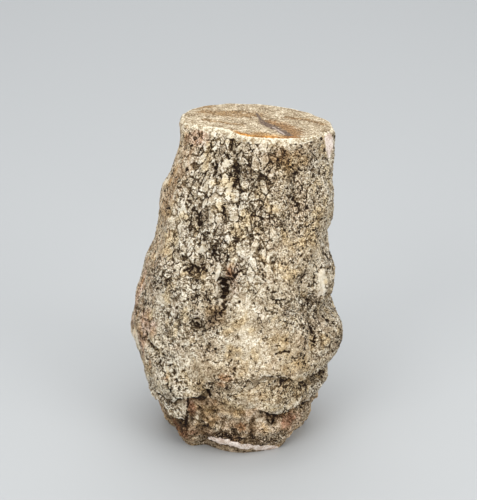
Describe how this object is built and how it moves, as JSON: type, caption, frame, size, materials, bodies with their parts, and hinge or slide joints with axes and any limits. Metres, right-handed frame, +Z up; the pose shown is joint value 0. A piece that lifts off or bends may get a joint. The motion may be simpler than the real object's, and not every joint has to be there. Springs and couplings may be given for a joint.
{
  "type": "petrified wood branch",
  "caption": "Upright length of petrified branch: crusted bark, a swollen knotty collar with broken ledges, a sawn top with a pale rim, and a narrower foot.",
  "frame": {"origin": "on the standing surface, under the middle of the piece", "axes": "+Z up along the branch, -Y the front with the cleft, +X the right side with the knobs"},
  "size_m": [0.135, 0.1342, 0.2008],
  "materials": {
    "petrified_stone": "rough and matt; cream, grey and tan bark crust over brown, with a finer tan sawn face on top"
  },
  "bodies": {
    "root": {"petrified_branch": "petrified_stone"}
  },
  "joints": []
}
